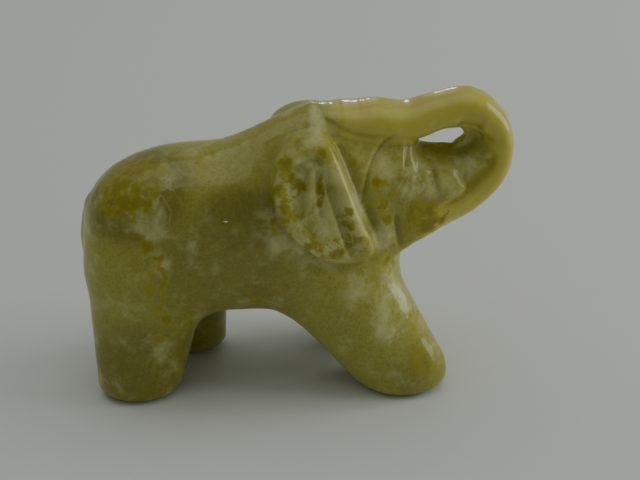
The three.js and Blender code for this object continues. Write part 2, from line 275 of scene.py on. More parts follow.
@dataclass(frozen=True)
class Limb:
    """A tapered limb from one ball to another, flattened across the body."""

    start: Point3
    end: Point3
    thick: float
    thin: float
    flat: float = 0.76

    def distance(self, x: np.ndarray, y: np.ndarray, z: np.ndarray) -> np.ndarray:
        """Gives about the signed distance to the limb.

        Args:
            x: Points' x.
            y: Points' y.
            z: Points' z.

        Returns:
            The distance, negative inside.
        """
        ax, ay, az = (b - a for a, b in zip(self.start, self.end))
        ay /= self.flat
        px, py, pz = x - self.start[0], (y - self.start[1]) / self.flat, z - self.start[2]
        t = np.clip((px * ax + py * ay + pz * az) / (ax * ax + ay * ay + az * az), 0, 1)
        away = np.sqrt((px - t * ax) ** 2 + (py - t * ay) ** 2 + (pz - t * az) ** 2)
        return (away - mix(self.thick, self.thin, t)) * (1 + self.flat) / 2


@dataclass(frozen=True)
class Groove:
    """A groove cut into both sides along a line in side view, beyond a width from the middle.

    A lean over 0 makes the wall on the line's left wide and gentle, and the other steep.
    """

    line: tuple[Point2, ...]
    width: float
    depth: float
    beyond: float
    lean: float = 0.0
    run_out: float = 0.16
    stretches_each: int = 4

    def cut(self, x: np.ndarray, side: np.ndarray, z: np.ndarray) -> np.ndarray:
        """Gives the groove's depth at points.

        Args:
            x: Points' x.
            side: Points' distance from the middle plane.
            z: Points' z.

        Returns:
            The depth, 0 away from the groove.
        """
        away, hand, along = line_distance(x, z, curved(self.line, self.stretches_each * (len(self.line) - 1)))
        fade = ease(ramp(np.minimum(along, 1 - along), -self.run_out / 2, self.run_out))
        wide = self.width * (1 + self.lean * hand)
        return self.depth * fade * np.exp(-((away / wide) ** 2)) * (side >= self.beyond)


@dataclass
class Body:
    """The barrel, the chest, the four legs, the neck and the tail."""

    barrel: Egg = Egg((-12, 0, 26.8), (22.1, 11.9, 13.7), 2.5)
    head_core: Egg = Egg((4.2, 0, 32), (14.6, 10, 14))
    chest: Egg = Egg((7, 0, 22.5), (9.2, 8.6, 11))
    body_fillet: float = 5.0
    hind_legs: tuple[Limb, ...] = (
        Limb((-24.3, -5, 20), (-26.5, -6.9, 1.6), 9.6, 7),
        Limb((-21, 5, 20), (-19, 6.9, 1.6), 9.6, 6.9),
    )
    front_legs: tuple[Limb, ...] = (
        Limb((6.8, -4.6, 19), (17.2, -7.8, 2.6), 8.8, 7.5),
        Limb((-1, -4.8, 23.5), (10.5, -7.4, 12), 7.5, 6),
        Limb((5.4, 4.6, 19), (14, 7.6, 2.6), 8.8, 7.4),
        Limb((-2, 4.8, 23.5), (8, 7.2, 12), 7.5, 6),
    )
    hind_sole_round: float = 2.8
    front_sole_round: float = 2.6
    leg_fillet: float = 4.0
    crest: Limb = Limb((-10, 0, 31.6), (3, 0, 39.4), 8.6, 7.1)
    crest_fillet: float = 3.0
    fold: Limb = Limb((2.8, 0, 46.2), (3.3, 7.4, 43.4), 1.2, 1.2)
    fold_fillet: float = 1.0
    tail_line: tuple[Point2, ...] = ((-32.4, 31.5), (-33.8, 26.5), (-33.7, 21.8), (-32.4, 18.4))
    tail_radii: Point2 = (1.0, 0.8)
    tail_fillet: float = 1.6
    tail_stretches: int = 8

    def distance(self, x: np.ndarray, y: np.ndarray, z: np.ndarray) -> np.ndarray:
        """Gives about the signed distance to the body.

        Args:
            x: Points' x.
            y: Points' y.
            z: Points' z.

        Returns:
            The distance, negative inside.
        """
        skin = blend(self.barrel.distance(x, y, z), self.head_core.distance(x, y, z), self.body_fillet)
        skin = blend(skin, self.chest.distance(x, y, z), self.body_fillet)
        hind = ((leg, self.hind_sole_round) for leg in self.hind_legs)
        front = ((leg, self.front_sole_round) for leg in self.front_legs)
        for leg, rounding in (*hind, *front):
            skin = blend(skin, share(leg.distance(x, y, z), -z, rounding), self.leg_fillet)
        away, _, along = line_distance(x, z, curved(self.tail_line, self.tail_stretches))
        tail = np.sqrt(away**2 + y**2) - mix(*self.tail_radii, along)
        skin = blend(skin, tail, self.tail_fillet)
        skin = blend(skin, self.crest.distance(x, y, z), self.crest_fillet)
        return blend(skin, self.fold.distance(x, np.abs(y), z), self.fold_fillet)


@dataclass
class Face:
    """The wedge of the face, from the neck to the root of the trunk."""

    outline: tuple[Point2, ...] = (
        (2, 36), (5, 44), (12.5, 44.9), (17.5, 43), (20.5, 40.8), (25.2, 40.8),
        (26.9, 35.4), (27, 32), (21.5, 27), (13.2, 23), (4, 26),
    )
    cheek_wide: float = 9.3
    cheek_narrow: float = 5.1
    narrows_from: float = 8.0
    narrows_to: float = 26.0
    crown_above: float = 33.5
    crown_over: float = 10.0
    crown_taper: float = 4.4
    jaw_below: float = 32.0
    jaw_over: float = 8.0
    jaw_taper: float = 0.3
    rounding: float = 1.3
    fillet: float = 1.2
    dish_line: tuple[Point2, ...] = ((20.6, 40.7), (23.4, 40.3), (26.3, 40.8))
    dish_depth: float = 3.1
    dish_width: float = 2.1
    dish_stretches: int = 8
    stretches: int = 44

    def dish(self, x: np.ndarray, z: np.ndarray) -> np.ndarray:
        """Gives how much the stone thins out on each side towards the slot."""
        away, _, _ = line_distance(x, z, curved(self.dish_line, self.dish_stretches))
        return self.dish_depth * np.exp(-((away / self.dish_width) ** 2))

    def distance(self, x: np.ndarray, side: np.ndarray, z: np.ndarray) -> np.ndarray:
        """Gives about the signed distance to the face.

        Args:
            x: Points' x.
            side: Points' distance from the middle plane.
            z: Points' z.

        Returns:
            The distance, negative inside.
        """
        along = np.minimum((x - self.narrows_from) / (self.narrows_to - self.narrows_from), 1)
        crown = self.crown_taper * (np.maximum(z - self.crown_above, 0) / self.crown_over) ** 2
        jaw = self.jaw_taper * (np.maximum(self.jaw_below - z, 0) / self.jaw_over) ** 2
        half = mix(self.cheek_wide, self.cheek_narrow, along) - crown - jaw - self.dish(x, z)
        edge = outline_distance(x, z, curved(self.outline, self.stretches, True))
        return share(edge, side - half, self.rounding)


@dataclass
class Trunk:
    """The trunk's band, curled back over the head, with the web of stone and the slot inside the curl."""

    rows: tuple[tuple[float, float, float, float], ...] = (
        (19.5, 28.8, 3.9, 6.2), (25.8, 31.1, 3.2, 5.2), (30.4, 34.5, 2.75, 4.8), (32.5, 39.1, 2.35, 4.5),
        (31.1, 43.7, 2.75, 4.3), (27.4, 46.2, 3.05, 4.2), (22.4, 45.5, 2.9, 4.2), (17.6, 44.3, 2.8, 4.6),
        (12.8, 44.7, 2.9, 5.1), (8.6, 45.1, 2.3, 4.9), (5, 45.6, 1.5, 4),
    )
    power: float = 2.5
    stretches: int = 40
    web_stretches: int = 32
    slot_stretches: int = 28
    fillet: float = 1.0
    web_outline: tuple[Point2, ...] = (
        (26, 44.5), (31, 44.5), (33, 39.5), (31, 34.5), (25, 31), (22, 33), (23.5, 38.2), (25.4, 40.4),
    )
    web_thick: float = 3.6
    web_thin: float = 1.7
    web_least: float = 1.0
    web_round: float = 0.6
    web_fillet: float = 0.5
    notch_from: float = 39.0
    notch_to: float = 41.6
    slot_outline: tuple[Point2, ...] = (
        (20, 40.8), (21.3, 42), (23.4, 43), (25.4, 43),
        (26.5, 42.4), (26.8, 41.6), (25.8, 40.9), (23.2, 40.5),
    )
    slot_round: float = 0.7
    flare_from: float = 1.5
    flare_slope: float = 0.3

    def band(self) -> np.ndarray:
        """Gives the band's centre line as rows of x, z, half thickness and half width."""
        table = np.array(self.rows)
        line = curved([(x, z) for x, z, _, _ in self.rows], self.stretches)
        made = []
        for step, (x, z) in enumerate(line):
            along = step / self.stretches * (len(table) - 1)
            k = min(int(along), len(table) - 2)
            made.append([x, z, *mix(table[k, 2:], table[k + 1, 2:], ease(along - k))])
        return np.array(made)

    def distance(self, x: np.ndarray, side: np.ndarray, z: np.ndarray) -> np.ndarray:
        """Gives about the signed distance to the trunk's band.

        Args:
            x: Points' x.
            side: Points' distance from the middle plane.
            z: Points' z.

        Returns:
            The distance, negative inside.
        """
        band = self.band()
        nearest = np.full(np.broadcast(x, side, z).shape, np.inf)
        for a, b in zip(band, band[1:]):
            d2, t = nearest_on(x, z, a[:2], b[:2])
            thick, wide = mix(a[2], b[2], t), mix(a[3], b[3], t)
            reach = ((np.sqrt(d2) / thick) ** self.power + (side / wide) ** self.power) ** (1 / self.power)
            nearest = np.minimum(nearest, (reach - 1) * np.minimum(thick, wide))
        return nearest

    def web(self, x: np.ndarray, side: np.ndarray, z: np.ndarray, dish: np.ndarray) -> np.ndarray:
        """Gives about the signed distance to the web, with the notch that runs on from the slot.

        Args:
            x: Points' x.
            side: Points' distance from the middle plane.
            z: Points' z.
            dish: How much the stone thins out at the points.

        Returns:
            The distance, negative inside.
        """
        half = mix(self.web_thick, self.web_thin, ramp(z, self.notch_from, self.notch_to))
        half = np.maximum(half - dish, self.web_least)
        edge = outline_distance(x, z, curved(self.web_outline, self.web_stretches, True))
        return share(edge, side - half, self.web_round)

    def slot(self, x: np.ndarray, side: np.ndarray, z: np.ndarray) -> np.ndarray:
        """Gives about the signed distance to all that isn't the slot, which opens wider to each side.

        Args:
            x: Points' x.
            side: Points' distance from the middle plane.
            z: Points' z.

        Returns:
            The distance, positive inside the slot.
        """
        flare = self.flare_slope * np.maximum(side - self.flare_from, 0)
        return flare - outline_distance(x, z, curved(self.slot_outline, self.slot_stretches, True))


@dataclass
class Ears:
    """Both ears: plates with a rounded edge and a broad rim on one egg-shaped dome."""

    outline: tuple[Point2, ...] = (
        (2, 44.8), (-0.8, 44), (-3.1, 42.1), (-4.2, 39), (-4.1, 35.6), (-2.5, 31.6), (0.5, 28.1), (3.9, 25.7),
        (7.4, 24.7), (10.4, 25.1), (11.8, 26.8), (10.3, 30.8), (6.9, 40), (5.6, 43.2), (4.4, 44.6),
    )
    dome: Egg = Egg((3.6, 0, 31.5), (22, 13.3, 17))
    edge_round: float = 1.5
    hollow: float = 0.8
    rim: float = 2.45
    slope: float = 0.85
    hollow_from: float = 27.0
    hollow_to: float = 33.0
    fillet: float = 0.6
    far_rise: float = 1.2
    valley_depth: float = 0.5
    valley_beyond: float = 0.9
    valley_width: float = 1.3
    valley_from: float = 4.0
    valley_to: float = 8.0
    stretches: int = 50

    def edge(self, x: np.ndarray, y: np.ndarray, z: np.ndarray) -> np.ndarray:
        """Gives the signed distance to the ear's outline in side view. The far ear is cut higher."""
        outline = curved(self.outline, self.stretches, True)
        return outline_distance(x, z - self.far_rise * (y > 0), outline)

    def valley(self, side: np.ndarray, edge: np.ndarray) -> np.ndarray:
        """Gives the depth of the shallow valley in the neck round each ear.

        Args:
            side: Points' distance from the middle plane.
            edge: Points' distance to the ear's outline.

        Returns:
            The depth.
        """
        across = np.exp(-(((edge - self.valley_beyond) / self.valley_width) ** 2))
        return self.valley_depth * across * ramp(side, self.valley_from, self.valley_to)

    def distance(self, x: np.ndarray, side: np.ndarray, z: np.ndarray, edge: np.ndarray) -> np.ndarray:
        """Gives about the signed distance to the ear.

        Args:
            x: Points' x.
            side: Points' distance from the middle plane.
            z: Points' z.
            edge: Points' distance to the ear's outline.

        Returns:
            The distance, negative inside.
        """
        inward = ease(ramp(-edge, self.rim - self.slope, self.rim + self.slope))
        hollow = self.hollow * inward * ease(ramp(z, self.hollow_from, self.hollow_to))
        return share(edge, self.dome.distance(x, side, z) + hollow, self.edge_round)


@dataclass
class Carving:
    """Grooves and lines, each where the CAD solid has it, with its steep and its gentle wall."""

    ear_folds: tuple[Groove, ...] = (
        Groove(((1.9, 41.2), (0.7, 38), (0.4, 34.4)), 0.9, 0.5, 6, -0.5),
        Groove(((2.9, 40.6), (3, 36.8), (3.3, 33)), 0.75, 0.6, 6, 0.5),
        Groove(((4.3, 38.6), (4.9, 36.3), (6, 33), (7, 29.7), (8, 26.4)), 0.9, 0.85, 6, 0.65),
        Groove(((2.1, 36.2), (2.3, 33.2)), 0.35, 0.2, 6),
        Groove(((5.9, 43.4), (7.4, 40.4), (9.3, 35.6), (11.3, 31), (12.9, 26.8)), 0.65, 0.4, 6, 0.4),
    )
    trunk_tip: tuple[Groove, ...] = (
        Groove(((3.6, 46.8), (6.5, 45.1), (9.9, 43.7), (13.4, 43.3)), 0.6, 0.15, 2.5, -0.5),
        Groove(((5.2, 44.4), (8.2, 42.9), (11.2, 40.8)), 0.9, 0.2, 3),
    )
    cheek: tuple[Groove, ...] = (
        Groove(((14.8, 43.2), (12.5, 41.4), (11.2, 39.4), (10.4, 37), (10, 34.2)), 0.7, 0.15, 3),
        Groove(((14.8, 43.2), (12.5, 41.4), (11.2, 39.4), (10.4, 37), (10, 34.2)), 0.24, 0.26, 3),
        Groove(((17.4, 42), (16.8, 38.4)), 0.5, 0.3, 3, 0.3),
        Groove(((18.9, 39.2), (18.6, 36.2)), 0.45, 0.15, 3, 0.3),
        Groove(((21, 40), (21.5, 37.2), (22.3, 33.8)), 0.8, 0.45, 3, -0.4),
        Groove(((23.4, 40.6), (24.7, 38.4), (26.6, 34.6)), 0.6, 0.4, 2.5, 0.35),
        Groove(((15.2, 31.6), (15.5, 28.8), (16.3, 25.2)), 0.5, 0.35, 3, 0.4),
    )
    curl: tuple[Groove, ...] = (
        Groove(((31.2, 39.4), (30.6, 37.2), (28.9, 35.3), (26.5, 32.9), (22.6, 31.4)), 0.65, 0.5, 2.3, -0.35),
        Groove(((25, 39.6), (28, 38.9), (31, 38)), 0.45, 0.25, 1.5, -0.3),
        Groove(((26.4, 42.6), (28.8, 42.3), (31.3, 41.7)), 0.7, 0.3, 1.2),
        Groove(((25, 43.8), (29.2, 43.4)), 2, 0.6, 2.5),
    )

    def cut(self, x: np.ndarray, side: np.ndarray, z: np.ndarray) -> np.ndarray:
        """Gives the depth of all the grooves at points.

        Args:
            x: Points' x.
            side: Points' distance from the middle plane.
            z: Points' z.

        Returns:
            The depth.
        """
        grooves = (*self.ear_folds, *self.trunk_tip, *self.cheek, *self.curl)
        return sum(groove.cut(x, side, z) for groove in grooves)


@dataclass
class Stone:
    """The whole carved stone, as one field: negative inside, zero on the skin, positive outside."""

    body: Body = field(default_factory=Body)
    face: Face = field(default_factory=Face)
    trunk: Trunk = field(default_factory=Trunk)
    ears: Ears = field(default_factory=Ears)
    carving: Carving = field(default_factory=Carving)

    def distance(self, x: np.ndarray, y: np.ndarray, z: np.ndarray) -> np.ndarray:
        """Gives about the signed distance to the stone's skin.

        Args:
            x: Points' x.
            y: Points' y.
            z: Points' z.

        Returns:
            The distance, negative inside.
        """
        side = np.abs(y)
        skin = self.body.distance(x, y, z)
        edge = self.ears.edge(x, y, z)
        skin = blend(skin + self.ears.valley(side, edge), self.face.distance(x, side, z), self.face.fillet)
        skin = blend(skin, self.ears.distance(x, side, z, edge), self.ears.fillet)
        skin = blend(skin, self.trunk.distance(x, side, z), self.trunk.fillet)
        skin = blend(skin, self.trunk.web(x, side, z, self.face.dish(x, z)), self.trunk.web_fillet)
        skin = share(skin, self.trunk.slot(x, side, z), self.trunk.slot_round)
        return skin + self.carving.cut(x, side, z)

    def bend(self, knots: np.ndarray, reach: float) -> np.ndarray:
        """Gives how strongly the skin bends at knots on it.

        Args:
            knots: Rows of x, y, z on the skin.
            reach: How far round each knot the skin counts.

        Returns:
            The bend, one over a radius: positive on a ridge, negative in a valley.
        """
        steps = np.vstack([np.eye(3), -np.eye(3)]) * reach
        return sum(self.distance(*(knots + step).T) for step in steps) / reach**2


@dataclass
class Net:
    """Wraps a field's skin in a net of quads: one knot in each cell of a grid that the skin crosses."""

    detail: Detail
    low: Point3 = (-38.0, -16.5, -3.0)
    high: Point3 = (38.0, 16.5, 52.5)
    head_from: float = -7.0
    head_above: float = 22.0
    passes: int = 2
    flat_slope: float = 0.05
    nudge: float = 0.02

    def marks(self) -> list[np.ndarray]:
        """Gives the grid's marks along each axis, closer together over the head."""
        fine, coarse = self.detail.value
        across = (fine + coarse) / 2
        made = []
        for axis, start in ((0, self.head_from), (1, self.high[1]), (2, self.head_above)):
            step = across if axis == 1 else coarse
            lower = np.arange(self.low[axis], start, step)
            upper = np.arange(lower[-1] + step, self.high[axis] + fine, fine if axis != 1 else across)
            made.append(np.concatenate([lower, upper]))
        return made

    def wrap(self, skin: Field) -> tuple[np.ndarray, np.ndarray]:
        """Makes the net.

        Args:
            skin: The field to wrap.

        Returns:
            The knots, and the quads as rows of four knots.
        """
        marks = self.marks()
        value = skin(marks[0][:, None, None], marks[1][None, :, None], marks[2][None, None, :])
        inside = value < 0
        shape = np.array(value.shape) - 1
        total = np.zeros((*shape, 3))
        crossed = np.zeros(shape)
        edges = []
        for axis in range(3):
            first = np.take(value, range(value.shape[axis] - 1), axis)
            second = np.take(value, range(1, value.shape[axis]), axis)
            hit = (first < 0) != (second < 0)
            t = np.where(hit, first / np.where(hit, first - second, 1), 0)
            edges.append(hit)
            others = [a for a in range(3) if a != axis]
            for i in (0, 1):
                for j in (0, 1):
                    part = [slice(None)] * 3
                    part[others[0]] = slice(i, i + shape[others[0]])
                    part[others[1]] = slice(j, j + shape[others[1]])
                    here = hit[tuple(part)]
                    total[..., axis] += t[tuple(part)] * here
                    total[..., others[0]] += i * here
                    total[..., others[1]] += j * here
                    crossed += here
        cells = np.nonzero(crossed)
        knot_of = np.full(shape, -1)
        knot_of[cells] = np.arange(len(cells[0]))
        mean = total[cells] / crossed[cells][:, None]
        knots = np.stack([marks[a][cells[a]] + mean[:, a] * np.diff(marks[a])[cells[a]] for a in range(3)], 1)
        return knots, np.vstack([self.quads(axis, edges[axis], inside, knot_of) for axis in range(3)])

    @staticmethod
    def quads(axis: int, hit: np.ndarray, inside: np.ndarray, knot_of: np.ndarray) -> np.ndarray:
        """Joins the four knots round each grid edge along one axis that the skin crosses.

        Args:
            axis: The axis that the grid edges run along.
            hit: Which of those edges the skin crosses.
            inside: Which grid points are inside the stone.
            knot_of: Number of the knot in each cell.

        Returns:
            The quads, facing outwards.
        """
        at = np.stack(np.nonzero(hit), 1)
        u, v = np.eye(3, dtype=int)[[(axis + 1) % 3, (axis + 2) % 3]]
        corners = ((0, 0), (1, 0), (1, 1), (0, 1))
        ring = np.stack([knot_of[tuple((at - s * u - t * v).T)] for s, t in corners], 1)
        outwards = inside[tuple(at.T)]
        return np.where(outwards[:, None], ring, ring[:, ::-1])

    def settle(self, skin: Field, knots: np.ndarray) -> np.ndarray:
        """Draws each knot on to the skin along the field's slope.

        Args:
            skin: The field.
            knots: The knots as wrapped.

        Returns:
            The knots on the skin.
        """
        reach = self.detail.value[0] / 4
        nudges = np.eye(3) * self.nudge
        for _ in range(self.passes):
            gap = skin(*knots.T)
            slope = np.stack([(skin(*(knots + nudge).T) - gap) / self.nudge for nudge in nudges], 1)
            steep = (slope**2).sum(1)
            step = np.clip(gap / np.maximum(steep, self.flat_slope), -reach, reach)
            step = np.where(steep < self.flat_slope, 0, step)
            knots = knots - step[:, None] * slope
        return knots


@dataclass(frozen=True)
class Painter:
    """Adds nodes to one tree and links them up."""

    tree: bpy.types.NodeTree

    def put(self, kind: str, fed: dict[str | int, Fed], **settings: str | bool | float) -> bpy.types.Node:
        """Adds a node.

        Args:
            kind: The node's type.
            fed: What each input gets, by its name or number: a number, a colour or a socket.
            settings: The node's own settings.

        Returns:
            The node.
        """
        made = self.tree.nodes.new(kind)
        for name, setting in settings.items():
            setattr(made, name, setting)
        for key, value in fed.items():
            if isinstance(value, bpy.types.NodeSocket):
                self.tree.links.new(value, made.inputs[key])
            else:
                made.inputs[key].default_value = value
        return made

    def math(self, operation: str, a: Fed, b: Fed = 0.0, clamp: bool = False) -> bpy.types.NodeSocket:
        """Works a number out of two others.

        Args:
            operation: What is done with them.
            a: First number or socket.
            b: Second number or socket.
            clamp: Whether the result stays between 0 and 1.

        Returns:
            The result.
        """
        return self.put("ShaderNodeMath", {0: a, 1: b}, operation=operation, use_clamp=clamp).outputs[0]

    def noise(self, place: Fed, size: Fed, seed: Fed, **shape: Fed) -> bpy.types.NodeSocket:
        """Adds cloudy noise from 0 to 1.

        Args:
            place: Where it is read.
            size: Size of its clouds, in the same unit.
            seed: Picks one noise among many.
            shape: Its detail, roughness and distortion.

        Returns:
            The noise.
        """
        fed = {"Vector": place, "Scale": self.over(1.0, size), "W": seed}
        fed |= {name.capitalize(): value for name, value in shape.items()}
        return self.put("ShaderNodeTexNoise", fed, noise_dimensions="4D").outputs["Fac"]

    def over(self, a: float, b: Fed) -> Fed:
        """Divides a number by another, or by a socket."""
        return a / b if isinstance(b, (int, float)) else self.math("DIVIDE", a, b)

    def ramp(self, value: Fed, low: float, high: float) -> bpy.types.NodeSocket:
        """Goes softly from 0 to 1 as value goes from low to high."""
        fed = {"Value": value, "From Min": low, "From Max": high}
        return self.put("ShaderNodeMapRange", fed, interpolation_type="SMOOTHSTEP").outputs[0]

    def mix(self, share: Fed, first: Fed, second: Fed, how: str = "MIX") -> bpy.types.NodeSocket:
        """Mixes two colours.

        Args:
            share: Share of the second, from 0 to 1.
            first: First colour or socket.
            second: Second colour or socket.
            how: Way of mixing them.

        Returns:
            The mixed colour.
        """
        share_at, first_at, second_at, result_at = 0, 6, 7, 2
        fed = {share_at: share, first_at: self.opaque(first), second_at: self.opaque(second)}
        return self.put("ShaderNodeMix", fed, data_type="RGBA", blend_type=how).outputs[result_at]

    @staticmethod
    def opaque(colour: Fed) -> Fed:
        """Gives a plain colour its full opacity and leaves a socket as it is."""
        return colour if isinstance(colour, bpy.types.NodeSocket) else (*colour, 1.0)

    def kept(self, share: Share) -> bpy.types.NodeSocket:
        """Reads a share that is kept on the net."""
        return self.put("ShaderNodeAttribute", {}, attribute_name=share.value).outputs["Fac"]


@dataclass
class Polish:
    """The slight ripple that polishing by hand leaves, made with Geometry Nodes along the skin's normals."""

    ripple_depth: float = 0.16 * MM
    ripple_size: float = 3.0 * MM
    rub_depth: float = 0.035 * MM
    rub_size: float = 1.1 * MM
    sole_level: float = 0.4 * MM
    seed: float = 7.0

    def tree(self) -> bpy.types.GeometryNodeTree:
        """Builds the node tree, which sets the skin back by two sizes of noise and leaves the soles flat."""
        tree = bpy.data.node_groups.new("hand polish", "GeometryNodeTree")
        interface = tree.interface
        interface.new_socket("Geometry", in_out="INPUT", socket_type="NodeSocketGeometry")
        for name in ("Ripple Depth", "Ripple Size", "Rub Depth", "Rub Size", "Sole Level", "Seed"):
            interface.new_socket(name, in_out="INPUT", socket_type="NodeSocketFloat")
        interface.new_socket("Stone", in_out="INPUT", socket_type="NodeSocketMaterial")
        interface.new_socket("Geometry", in_out="OUTPUT", socket_type="NodeSocketGeometry")
        painter = Painter(tree)
        given = painter.put("NodeGroupInput", {}).outputs
        position = painter.put("GeometryNodeInputPosition", {}).outputs[0]
        ripple = painter.noise(position, given["Ripple Size"], given["Seed"], detail=1.0)
        rub = painter.noise(position, given["Rub Size"], given["Seed"], detail=1.0)
        ripple = painter.math("MULTIPLY", ripple, given["Ripple Depth"])
        rub = painter.math("MULTIPLY", rub, given["Rub Depth"])
        depth = painter.math("ADD", ripple, rub)
        height = painter.put("ShaderNodeSeparateXYZ", {0: position}).outputs["Z"]
        above_sole = painter.math("DIVIDE", height, given["Sole Level"], clamp=True)
        back = painter.math("MULTIPLY", painter.math("MULTIPLY", depth, above_sole), -1.0)
        normal = painter.put("GeometryNodeInputNormal", {}).outputs[0]
        offset = painter.put("ShaderNodeVectorMath", {0: normal, "Scale": back}, operation="SCALE")
        fed = {"Geometry": given["Geometry"], "Offset": offset.outputs[0]}
        moved = painter.put("GeometryNodeSetPosition", fed)
        real = painter.put("GeometryNodeRealizeInstances", {0: moved.outputs[0]})
        fed = {"Geometry": real.outputs[0], "Material": given["Stone"]}
        painted = painter.put("GeometryNodeSetMaterial", fed)
        painter.put("NodeGroupOutput", {0: painted.outputs[0]})
        return tree

    def rub(self, piece: bpy.types.Object, stone: bpy.types.Material) -> bpy.types.Object:
        """Polishes a piece and turns the result into its plain mesh.

        Args:
            piece: The carved piece.
            stone: Its material.

        Returns:
            The same piece, with no modifier left.
        """
        modifier = piece.modifiers.new("hand polish", "NODES")
        modifier.node_group = self.tree()
        values = {
            "Ripple Depth": self.ripple_depth,
            "Ripple Size": self.ripple_size,
            "Rub Depth": self.rub_depth,
            "Rub Size": self.rub_size,
            "Sole Level": self.sole_level,
            "Seed": self.seed,
            "Stone": stone,
        }
        for item in modifier.node_group.interface.items_tree:
            if item.in_out == "INPUT" and item.name in values:
                modifier[item.identifier] = values[item.name]
        evaluated = piece.evaluated_get(bpy.context.evaluated_depsgraph_get())
        polished = bpy.data.meshes.new_from_object(evaluated)
        piece.modifiers.remove(modifier)
        piece.data = polished
        return piece


@dataclass(frozen=True)
class Patch:
    """A soft egg-shaped region of the stone, in the drawing, and its strength."""

    centre: Point3
    radii: Point3
    strength: float = 1.0
    full_to: float = 0.55
    ends_at: float = 1.25

    def share(self, x: np.ndarray, y: np.ndarray, z: np.ndarray) -> np.ndarray:
        """Goes from the patch's strength inside it to 0 outside.

        Args:
            x: Points' x.
            y: Points' y.
            z: Points' z.

        Returns:
            The share.
        """
        reach = np.sqrt(sum(((v - c) / r) ** 2 for v, c, r in zip((x, y, z), self.centre, self.radii)))
        return self.strength * (1 - ease(ramp(reach, self.full_to, self.ends_at)))


